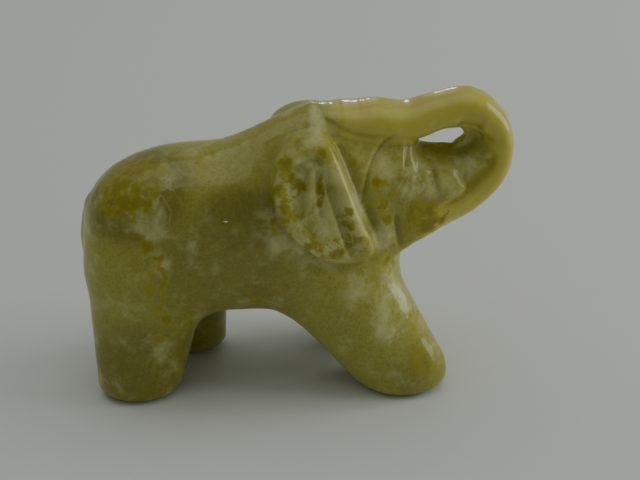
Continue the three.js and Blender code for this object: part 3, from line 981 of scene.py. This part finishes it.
@dataclass(frozen=True)
class Colouring:
    """Where the stone is mottled olive, clouded pale and olive all through, where it is darker in tone and
    where painted shade falls low on it, with painted shade in the carved grooves and valleys and a painted
    highlight on the ridges.
    """

    mottled: tuple[Patch, ...] = (
        Patch((-26.3, -7, 38), (7, 9, 6.5), 1.35),
        Patch((-14.8, -4, 41.1), (2.8, 4, 2.2)),
        Patch((-22.5, -10, 23.4), (2.9, 5, 8.5)),
        Patch((-19.6, -9, 14.5), (3.2, 5, 3.6), 0.8),
        Patch((-6.6, -8, 17.5), (2.4, 4, 1.8), 0.9),
        Patch((-2.3, -11.5, 37), (3.2, 4, 8.6)),
        Patch((3, -11, 43.4), (3.5, 4, 1.6), 0.8),
        Patch((7.9, -10, 43), (2.6, 4, 2.2), 1.2),
        Patch((3.1, -12, 37.2), (1.1, 4, 2.8), 1.1),
        Patch((5.5, -12, 28.3), (7, 4, 3.1)),
        Patch((7.3, -12, 33), (1.1, 4, 4), 1.1),
        Patch((13, -8.5, 34.6), (3, 4, 3.8), 0.85),
        Patch((19.6, -7, 30), (4.6, 4, 3.9), 1.25),
        Patch((14, -8, 30), (2.4, 4, 3), 0.6),
        Patch((19.6, -9, 10.5), (3.2, 7, 10.5), 0.8),
        Patch((15.6, -7, 22.8), (2.4, 5, 2.2), 0.8),
        Patch((-27, 8, 34), (7, 6, 7)),
        Patch((-19, 10, 20), (4, 5, 9)),
        Patch((-2.5, 11.5, 34), (3.6, 4, 9)),
        Patch((6.5, 12, 29), (6, 4, 4)),
        Patch((16, 8, 31), (5, 4, 4.5), 1.1),
        Patch((9, 8, 40), (3, 4, 3), 0.9),
        Patch((15, 9, 9), (4, 5, 9), 0.8),
        Patch((-17, 8, 5), (6, 6, 4), 0.6),
    )
    cloudy: tuple[Patch, ...] = (
        Patch((4.4, -12, 36.4), (3.8, 4, 7.5), 1.1),
        Patch((9.6, -12, 33), (2.8, 4, 7), 1.15),
        Patch((2.5, -12, 34.5), (8.5, 4, 11.5), 0.9),
        Patch((8.3, -8, 45.2), (4.8, 5, 1.5), 0.9),
        Patch((3.2, -6, 46), (1.6, 6, 2.6), 0.8),
        Patch((19.6, -7.5, 36.4), (4.6, 4, 4.6), 0.65),
        Patch((14.5, -8, 40), (3, 4, 3), 0.7),
        Patch((13.4, -8, 28), (2.1, 4, 3.2), 0.8),
        Patch((26.9, -3, 37), (2.7, 3, 2.2), 0.9),
        Patch((26.5, -3, 45.2), (2.3, 3, 1.1), 0.7),
        Patch((14.4, -10, 16), (4, 6, 5.8), 0.85),
        Patch((9, -9, 21), (3.5, 5, 4), 0.5),
        Patch((-22.6, -10, 33.8), (3.4, 5, 4.6), 0.8),
        Patch((-25, -9, 37), (8, 7, 6), 0.5),
        Patch((-24, -10, 12), (5, 5, 4), 0.2),
        Patch((3.5, 12, 36), (5, 4, 8), 1.0),
        Patch((19, 7.5, 37), (4.5, 4, 5), 1.0),
        Patch((11, 10, 15), (4, 6, 7), 0.3),
        Patch((-22, 9, 28), (4, 5, 5), 0.6),
        Patch((-10, 10, 33), (5, 4, 4), 0.4),
    )
    # The rump patch is darker olive tone. The other patches are painted shade: low on the barrel and the
    # legs, on the chest under the jaw, on the near flank and on the cheek.
    deep_tone_and_shade: tuple[Patch, ...] = (
        Patch((-12, 0, 22), (15, 30, 15), 0.75),
        Patch((-9, -10, 32), (8, 6, 6)),
        Patch((-24, 0, 6), (13, 30, 12)),
        Patch((10, 12, 6), (8, 9, 10), 1.2),
        Patch((6, -4, 18), (7, 8, 7), 0.7),
        Patch((-26, -6, 37), (10, 11, 9), 1.35),
        Patch((20, -9, 3), (7, 8, 8), 0.6),
        Patch((17, -8, 33), (9, 5, 8), 0.5),
    )
    blots: tuple[Point3, ...] = (
        (-2, 41.5, 1.5), (0, 44, 1.1), (3.5, 43.4, 0.9), (7.2, 44.2, 1.3), (9, 42.6, 1.3), (6.3, 42.4, 0.9),
        (0.2, 38.2, 1.1), (-4, 37.8, 1), (-2.9, 35.4, 1.4), (-1.9, 32.8, 1.3), (1, 29.8, 1.6),
        (4.2, 29.9, 1.3),
        (3.2, 37.6, 1), (6.3, 33.5, 1.1), (5.2, 28, 0.9), (8.7, 28.2, 1.1), (6.7, 26.8, 1),
        (8.5, 40.6, 1.2), (12, 37.1, 1.2), (13.8, 34.3, 1), (14.1, 30.7, 1.4), (16.8, 28.6, 1.6),
        (19.6, 30.2, 1.7),
        (14.2, 23.8, 1), (18.5, 12, 1.1), (21.6, 7, 1.4), (21, 3, 1.2), (-6.6, 18, 1.1),
        (-28, 37.7, 2.6), (-23.8, 41.4, 2.9), (-22.5, 38.3, 1.9), (-25.6, 35.2, 2.3), (-14.3, 43.2, 1.6),
        (-23, 29, 1.5), (-21.5, 25, 1.3), (-22.8, 20.4, 1.5), (-21, 16, 1.6), (-22.4, 12.8, 1.4),
    )
    blot_strength: float = 1.55
    blot_spread: float = 1.45
    blot_y: float = -10.0
    blot_reach: float = 6.0
    blot_full_to: float = 0.2
    blot_ends_at: float = 1.0
    # The groove depth and the concave bend over which grooves and valleys get painted shade and a duller
    # polish.
    carved_depth: float = 0.9
    bend_reach: float = 0.45
    hollow_from: float = 0.3
    hollow_to: float = 1.5
    # Bend over which the ridges get a painted highlight.
    ridge_highlight_from: float = 0.35
    ridge_highlight_to: float = 1.3
    band_from: float = 0.25
    band_to: float = 1.1
    tip_starts: float = 3.2
    tip_full: float = 7.5
    slot_reach: float = 0.5

    def blotted(self) -> list[Patch]:
        """Gives the larger olive spots of the near side, each kept as x, z and radius.

        Returns:
            The spots as patches.
        """
        made = []
        for x, z, radius in self.blots:
            reach = self.blot_spread * radius
            radii = (reach, self.blot_reach, reach)
            blot = Patch((x, self.blot_y, z), radii, self.blot_strength, self.blot_full_to, self.blot_ends_at)
            made.append(blot)
        return made

    @staticmethod
    def strongest(patches: Sequence[Patch], knots: np.ndarray) -> np.ndarray:
        """Gives the strongest share that any of some patches has at knots."""
        return np.max([patch.share(*knots.T) for patch in patches], axis=0)

    def shares(self, stone: Stone, knots: np.ndarray) -> dict[Share, np.ndarray]:
        """Gives each kind of colour's share at knots on the skin.

        Args:
            stone: The carved stone.
            knots: Rows of x, y, z on its skin, in the drawing.

        Returns:
            The shares.
        """
        x, y, z = knots.T
        side = np.abs(y)
        bend = stone.bend(knots, self.bend_reach)
        carved = stone.carving.cut(x, side, z) / self.carved_depth
        hollow = ramp(-bend, self.hollow_from, self.hollow_to)
        band = 1 - ramp(stone.trunk.distance(x, side, z), self.band_from, self.band_to)
        return {
            # Painted shade, and duller polish, in the grooves and valleys.
            Share.HOLLOW_SHADE_AND_DULL: np.clip(np.maximum(carved, hollow), 0, 1),
            # Painted highlight along the ridges.
            Share.RIDGE_HIGHLIGHT: ramp(bend, self.ridge_highlight_from, self.ridge_highlight_to),
            Share.MOTTLED: self.strongest((*self.mottled, *self.blotted()), knots),
            Share.CLOUDY: self.strongest(self.cloudy, knots),
            # Deeper tone, and painted shade low on the body.
            Share.DEEP_TONE_AND_SHADE: self.strongest(self.deep_tone_and_shade, knots),
            Share.BAND: band * ease(ramp(x, self.tip_starts, self.tip_full)),
            Share.SLOT: ease(ramp(stone.trunk.slot(x, side, z), -self.slot_reach, 0)),
        }


@dataclass(frozen=True)
class Serpentine:
    """The stone's finish: pale grey-green, translucent and polished, with clouds, olive mottling and specks,
    and with painted shade and painted highlights.

    Colours are linear, and sizes are in millimetres.
    """

    ground: Colour = (0.378, 0.362, 0.058)
    # Darker tone of the stone, used too as the painted shade colour.
    ground_dark_and_shade: Colour = (0.235, 0.218, 0.02)
    haze: Colour = (0.445, 0.433, 0.095)
    cloud: Colour = (0.63, 0.622, 0.29)
    olive: Colour = (0.335, 0.301, 0.005)
    olive_core: Colour = (0.24, 0.21, 0.0)
    trunk_olive: Colour = (0.56, 0.5, 0.078)
    slot_olive: Colour = (0.5, 0.435, 0.03)
    # Painted shade colour that the carved grooves and valleys are multiplied by.
    shaded_dull_hollows: Colour = (0.6, 0.56, 0.3)
    speck: Colour = (0.02, 0.018, 0.012)
    drift_share: float = 0.6
    drift_ramp: Point2 = (0.2, 1.35)
    drift_size: float = 14.0
    haze_size: float = 4.2
    haze_ramp: Point2 = (0.5, 0.75)
    haze_share: float = 0.35
    grain_size: float = 0.42
    grain_ramp: Point2 = (0.42, 0.66)
    grain_share: float = 0.26
    cloud_size: float = 3.4
    cloud_raise: float = 0.22
    cloud_ramp: Point2 = (0.47, 0.9)
    cloud_share: float = 0.8
    vein_size: float = 9.0
    vein_width: Point2 = (0.002, 0.02)
    vein_within: Point2 = (0.1, 0.6)
    vein_share: float = 0.3
    spot_size: float = 1.9
    spot_raise: float = 0.2
    spot_within: Point2 = (0.02, 0.25)
    spot_ramp: Point2 = (0.655, 0.735)
    spot_share: float = 0.9
    core_ramp: Point2 = (0.72, 0.84)
    core_share: float = 0.8
    band_uneven: float = 0.9
    band_ramp: Point2 = (0.95, 1.5)
    band_share: float = 0.85
    speck_size: float = 5.5
    speck_radius: float = 0.045
    speck_chosen: Point2 = (0.62, 0.64)
    # How strongly the painted shade darkens the carved grooves and valleys.
    hollow_shade_share: float = 0.45
    # How strongly the painted highlight pales the ridges.
    ridge_highlight_share: float = 0.25
    rough_least: float = 0.26
    rough_spread: float = 0.16
    rough_carved: float = 0.3
    rough_ramp: Point2 = (0.3, 0.7)
    scratch_size: float = 0.25
    scratch_stretch: tuple[float, float, float] = (0.12, 1.0, 0.8)
    bump_depth: float = 0.012 * MM
    translucence: float = 0.45
    glow_reach: Point3 = (1.0, 0.92, 0.35)
    glow_scale: float = 2.2 * MM
    polish_coat: float = 0.45
    polish_coat_roughness: float = 0.045
    refraction: float = 1.5
    soft_shine: float = 0.22

    def ground_colour(self, painter: Painter, place: Fed) -> Fed:
        """Paints the plain stone: a slow drift between two tones, pushed towards the darker one by the deeper
        tone and the painted shade, faint haze and a fine grain.

        Args:
            painter: Adds the nodes.
            place: Place in the stone, in millimetres.

        Returns:
            The colour.
        """
        drift = painter.noise(place, self.drift_size, 1.0, detail=3.0)
        drift = painter.math("MULTIPLY", drift, self.drift_share)
        # The drift is pushed darker by the deeper tone and by the painted shade.
        raised = painter.math("ADD", drift, painter.kept(Share.DEEP_TONE_AND_SHADE))
        colour = painter.mix(painter.ramp(raised, *self.drift_ramp), self.ground, self.ground_dark_and_shade)
        haze = painter.noise(place, self.haze_size, 2.0, detail=4.0, roughness=0.6, distortion=0.7)
        haze = painter.math("MULTIPLY", painter.ramp(haze, *self.haze_ramp), self.haze_share)
        colour = painter.mix(haze, colour, self.haze)
        grain = painter.noise(place, self.grain_size, 3.0, detail=3.0, roughness=0.65)
        grain = painter.math("MULTIPLY", painter.ramp(grain, *self.grain_ramp), self.grain_share)
        return painter.mix(grain, colour, self.ground_dark_and_shade, "MULTIPLY")

    def clouds(self, painter: Painter, place: Fed, colour: Fed) -> Fed:
        """Paints pale clouds and a few thin pale veins over a colour.

        Args:
            painter: Adds the nodes.
            place: Place in the stone, in millimetres.
            colour: The colour so far.

        Returns:
            The colour with clouds.
        """
        cloudy = painter.kept(Share.CLOUDY)
        noise = painter.noise(place, self.cloud_size, 4.0, detail=5.0, roughness=0.6, distortion=0.4)
        raised = painter.math("ADD", noise, painter.math("MULTIPLY", cloudy, self.cloud_raise))
        share = painter.math("MULTIPLY", painter.ramp(raised, *self.cloud_ramp), self.cloud_share)
        colour = painter.mix(share, colour, self.cloud)
        line = painter.noise(place, self.vein_size, 5.0, detail=4.0, roughness=0.55, distortion=1.2)
        line = painter.math("ABSOLUTE", painter.math("SUBTRACT", line, 0.5))
        vein = painter.math("SUBTRACT", 1.0, painter.ramp(line, *self.vein_width))
        within = painter.math("MULTIPLY", painter.ramp(cloudy, *self.vein_within), self.vein_share)
        vein = painter.math("MULTIPLY", vein, within)
        return painter.mix(vein, colour, self.cloud)

    def spots(self, painter: Painter, place: Fed, colour: Fed) -> Fed:
        """Paints the olive mottling over a colour: crisp spots, darker in the middle.

        Args:
            painter: Adds the nodes.
            place: Place in the stone, in millimetres.
            colour: The colour so far.

        Returns:
            The mottled colour.
        """
        mottled = painter.kept(Share.MOTTLED)
        noise = painter.noise(place, self.spot_size, 6.0, detail=4.0, roughness=0.6, distortion=0.25)
        raised = painter.math("ADD", noise, painter.math("MULTIPLY", mottled, self.spot_raise))
        within = painter.ramp(mottled, *self.spot_within)
        outer = painter.math("MULTIPLY", painter.ramp(raised, *self.spot_ramp), within)
        inner = painter.math("MULTIPLY", painter.ramp(raised, *self.core_ramp), within)
        colour = painter.mix(painter.math("MULTIPLY", outer, self.spot_share), colour, self.olive)
        return painter.mix(painter.math("MULTIPLY", inner, self.core_share), colour, self.olive_core)

    def band(self, painter: Painter, place: Fed, colour: Fed) -> Fed:
        """Paints the olive of the trunk's band and of the slot's walls over a colour."""
        uneven = painter.noise(place, self.haze_size, 7.0, detail=4.0, roughness=0.6, distortion=0.6)
        uneven = painter.math("MULTIPLY", uneven, self.band_uneven)
        raised = painter.math("ADD", painter.kept(Share.BAND), uneven)
        share = painter.math("MULTIPLY", painter.ramp(raised, *self.band_ramp), self.band_share)
        colour = painter.mix(share, colour, self.trunk_olive)
        return painter.mix(painter.kept(Share.SLOT), colour, self.slot_olive)

    def specks(self, painter: Painter, place: Fed, colour: Fed) -> Fed:
        """Paints the few dark specks over a colour."""
        cells = painter.put("ShaderNodeTexVoronoi", {"Vector": place, "Scale": 1 / self.speck_size}).outputs
        chosen = painter.ramp(cells["Color"], *self.speck_chosen)
        away = painter.ramp(cells["Distance"], self.speck_radius / 2, self.speck_radius)
        near = painter.math("SUBTRACT", 1.0, away)
        return painter.mix(painter.math("MULTIPLY", near, chosen), colour, self.speck)

    def paint_hollow_shade_and_ridge_highlight(self, painter: Painter, colour: Fed) -> Fed:
        """Paints shade into the carved grooves and valleys, and a pale painted highlight along the ridges."""
        # Painted shade: the grooves and valleys are multiplied darker.
        shaded_dull_hollows = painter.math("MULTIPLY", painter.kept(Share.HOLLOW_SHADE_AND_DULL), self.hollow_shade_share)
        colour = painter.mix(shaded_dull_hollows, colour, self.shaded_dull_hollows, "MULTIPLY")
        # Painted highlight: the ridges are paled towards the haze colour.
        ridge_highlight = painter.math("MULTIPLY", painter.kept(Share.RIDGE_HIGHLIGHT), self.ridge_highlight_share)
        return painter.mix(ridge_highlight, colour, self.haze)

    def roughness(self, painter: Painter, place: Fed) -> Fed:
        """Makes the polish uneven, and duller in the carved hollows."""
        uneven = painter.noise(place, self.haze_size, 8.0, detail=5.0, roughness=0.65)
        uneven = painter.math("MULTIPLY", painter.ramp(uneven, *self.rough_ramp), self.rough_spread)
        dull = painter.math("MAXIMUM", painter.kept(Share.HOLLOW_SHADE_AND_DULL), painter.kept(Share.SLOT))
        shaded_dull_hollows = painter.math("MULTIPLY", dull, self.rough_carved)
        return painter.math("ADD", painter.math("ADD", uneven, shaded_dull_hollows), self.rough_least)

    def bump(self, painter: Painter, place: Fed) -> Fed:
        """Gives the skin its fine grain and the faint strokes of the polishing."""
        fed = {"Vector": place, "Scale": self.scratch_stretch}
        strokes = painter.put("ShaderNodeMapping", fed).outputs[0]
        strokes = painter.noise(strokes, self.scratch_size, 9.0, detail=2.0)
        grain = painter.noise(place, self.grain_size, 10.0, detail=4.0, roughness=0.6)
        height = painter.math("ADD", strokes, grain)
        fed = {"Height": height, "Distance": self.bump_depth, "Strength": 1.0}
        return painter.put("ShaderNodeBump", fed).outputs[0]

    def build(self) -> bpy.types.Material:
        """Builds the stone's node material."""
        material = bpy.data.materials.new("polished serpentine")
        material.use_nodes = True
        painter = Painter(material.node_tree)
        place = painter.put("ShaderNodeTexCoord", {}).outputs["Object"]
        place = painter.put("ShaderNodeVectorMath", {0: place, "Scale": 1 / MM}, operation="SCALE").outputs[0]
        colour = self.ground_colour(painter, place)
        colour = self.clouds(painter, place, colour)
        colour = self.band(painter, place, colour)
        colour = self.spots(painter, place, colour)
        colour = self.paint_hollow_shade_and_ridge_highlight(painter, colour)
        colour = self.specks(painter, place, colour)
        shader = material.node_tree.nodes["Principled BSDF"].inputs
        links = material.node_tree.links
        links.new(colour, shader["Base Color"])
        links.new(self.roughness(painter, place), shader["Roughness"])
        links.new(self.bump(painter, place), shader["Normal"])
        shader["IOR"].default_value = self.refraction
        shader["Specular IOR Level"].default_value = self.soft_shine
        shader["Subsurface Weight"].default_value = self.translucence
        shader["Subsurface Radius"].default_value = self.glow_reach
        shader["Subsurface Scale"].default_value = self.glow_scale
        shader["Coat Weight"].default_value = self.polish_coat
        shader["Coat Roughness"].default_value = self.polish_coat_roughness
        return material


@dataclass
class Figurine:
    """The dressed figurine: carved, brought to the CAD solid's box, polished and finished."""

    stone: Stone = field(default_factory=Stone)
    polish: Polish = field(default_factory=Polish)
    colouring: Colouring = field(default_factory=Colouring)
    finish: Serpentine = field(default_factory=Serpentine)
    sole_level: float = 0.03

    def carve(self) -> bpy.types.Object:
        """Carves the stone and brings it to the CAD solid's box.

        Returns:
            The piece, with its place in its mesh.
        """
        net = Net(Detail.FULL)
        knots, quads = net.wrap(self.stone.distance)
        knots = net.settle(self.stone.distance, knots)
        knots[:, 2] = np.maximum(knots[:, 2], self.sole_level)
        shares = self.colouring.shares(self.stone, knots)
        low, high = (np.array(corner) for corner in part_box(Node.ELEPHANT.value))
        drawn_low, drawn_high = knots.min(0), knots.max(0)
        knots = low + (knots - drawn_low) / (drawn_high - drawn_low) * (high - low)
        mesh = bpy.data.meshes.new("carved_elephant")
        mesh.from_pydata(knots.tolist(), [], quads.tolist())
        mesh.polygons.foreach_set("use_smooth", np.ones(len(quads), bool))
        for share, values in shares.items():
            mesh.attributes.new(share.value, "FLOAT", "POINT").data.foreach_set("value", values)
        mesh.validate()
        piece = bpy.data.objects.new("carved_elephant", mesh)
        bpy.context.scene.collection.objects.link(piece)
        return piece

    def build(self) -> bpy.types.Object:
        """Builds the figurine and puts it in the CAD solid's place.

        Returns:
            The finished piece.
        """
        material = self.finish.build()
        piece = self.polish.rub(self.carve(), material)
        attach(piece, "root")
        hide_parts(Node.ELEPHANT.value)
        log.info("carved elephant: %d faces", len(piece.data.polygons))
        return piece


@dataclass(frozen=True)
class Lamp:
    """A square soft light: its name, its place and side in metres, and its power in watts."""

    name: str
    place: Point3
    side: float
    power: float


@dataclass
class Studio:
    """The pale floor, the soft lights and the camera."""

    floor_size: float = 4.0
    floor_colour: Colour = (0.7, 0.725, 0.68)
    floor_roughness: float = 0.9
    floor_shine: float = 0.1
    lamps: tuple[Lamp, ...] = (
        Lamp("window", (0.06, 0.66, 0.2), 0.045, 0.1),
        Lamp("side", (0.66, 0.04, 0.26), 0.45, 2.0),
        Lamp("ceiling", (-0.05, 0.2, 1.2), 1.4, 4.2),
        Lamp("glint", (-0.03, -0.6, 0.11), 0.012, 0.012),
    )
    room_tint: Colour = (0.97, 1.0, 0.95)
    room_light: float = 0.23
    target: Point3 = (4 * MM, 0.0, 23.5 * MM)
    distance: float = 190 * MM
    elevation: float = 27.0
    azimuth: float = -4.0
    sensor: float = 36.0
    focal_pixels: float = 1150.0
    image_width: float = 640.0
    nearest_seen: float = 0.01

    def floor(self) -> bpy.types.Object:
        """Builds the floor."""
        half = self.floor_size / 2
        mesh = bpy.data.meshes.new("floor")
        corners = [(-half, -half, 0), (half, -half, 0), (half, half, 0), (-half, half, 0)]
        mesh.from_pydata(corners, [], [(0, 1, 2, 3)])
        piece = bpy.data.objects.new("floor", mesh)
        bpy.context.scene.collection.objects.link(piece)
        material = bpy.data.materials.new("pale floor")
        material.use_nodes = True
        shader = material.node_tree.nodes["Principled BSDF"]
        shader.inputs["Base Color"].default_value = (*self.floor_colour, 1)
        shader.inputs["Roughness"].default_value = self.floor_roughness
        shader.inputs["Specular IOR Level"].default_value = self.floor_shine
        mesh.materials.append(material)
        return piece

    def light(self, lamp: Lamp) -> bpy.types.Object:
        """Adds a lamp that faces the figurine.

        Args:
            lamp: The lamp.

        Returns:
            The light.
        """
        data = bpy.data.lights.new(lamp.name, "AREA")
        data.size = lamp.side
        data.energy = lamp.power
        made = bpy.data.objects.new(lamp.name, data)
        made.location = lamp.place
        made.rotation_euler = (Vector(lamp.place) - Vector(self.target)).to_track_quat("Z", "Y").to_euler()
        bpy.context.scene.collection.objects.link(made)
        return made

    def lights(self) -> None:
        """Adds the soft lights, mostly from above and behind, and the faint light all round."""
        for lamp in self.lamps:
            self.light(lamp)
        world = bpy.data.worlds.new("room")
        world.use_nodes = True
        background = world.node_tree.nodes["Background"].inputs
        background["Color"].default_value = (*self.room_tint, 1)
        background["Strength"].default_value = self.room_light
        bpy.context.scene.world = world

    def camera(self) -> bpy.types.Object:
        """Sets the camera at the photograph's viewing angle.

        Returns:
            The camera.
        """
        elevation, azimuth = math.radians(self.elevation), math.radians(self.azimuth)
        back = Vector((
            math.sin(azimuth) * math.cos(elevation),
            -math.cos(azimuth) * math.cos(elevation),
            math.sin(elevation),
        ))
        data = bpy.data.cameras.new("camera")
        data.sensor_width = self.sensor
        data.lens = self.focal_pixels / self.image_width * self.sensor
        data.clip_start = self.nearest_seen
        made = bpy.data.objects.new("camera", data)
        turn = back.to_track_quat("Z", "Y").to_matrix().to_4x4()
        made.matrix_world = Matrix.Translation(Vector(self.target) + back * self.distance) @ turn
        bpy.context.scene.collection.objects.link(made)
        bpy.context.scene.camera = made
        return made

    def build(self) -> None:
        """Sets up the floor, the lights and the camera."""
        self.floor()
        self.lights()
        self.camera()
        log.info("studio set")


def main() -> None:
    """Builds the figurine and the studio."""
    logging.basicConfig(level=logging.INFO, format="%(name)s: %(message)s")
    Figurine().build()
    Studio().build()


if __name__ == "__main__":
    main()
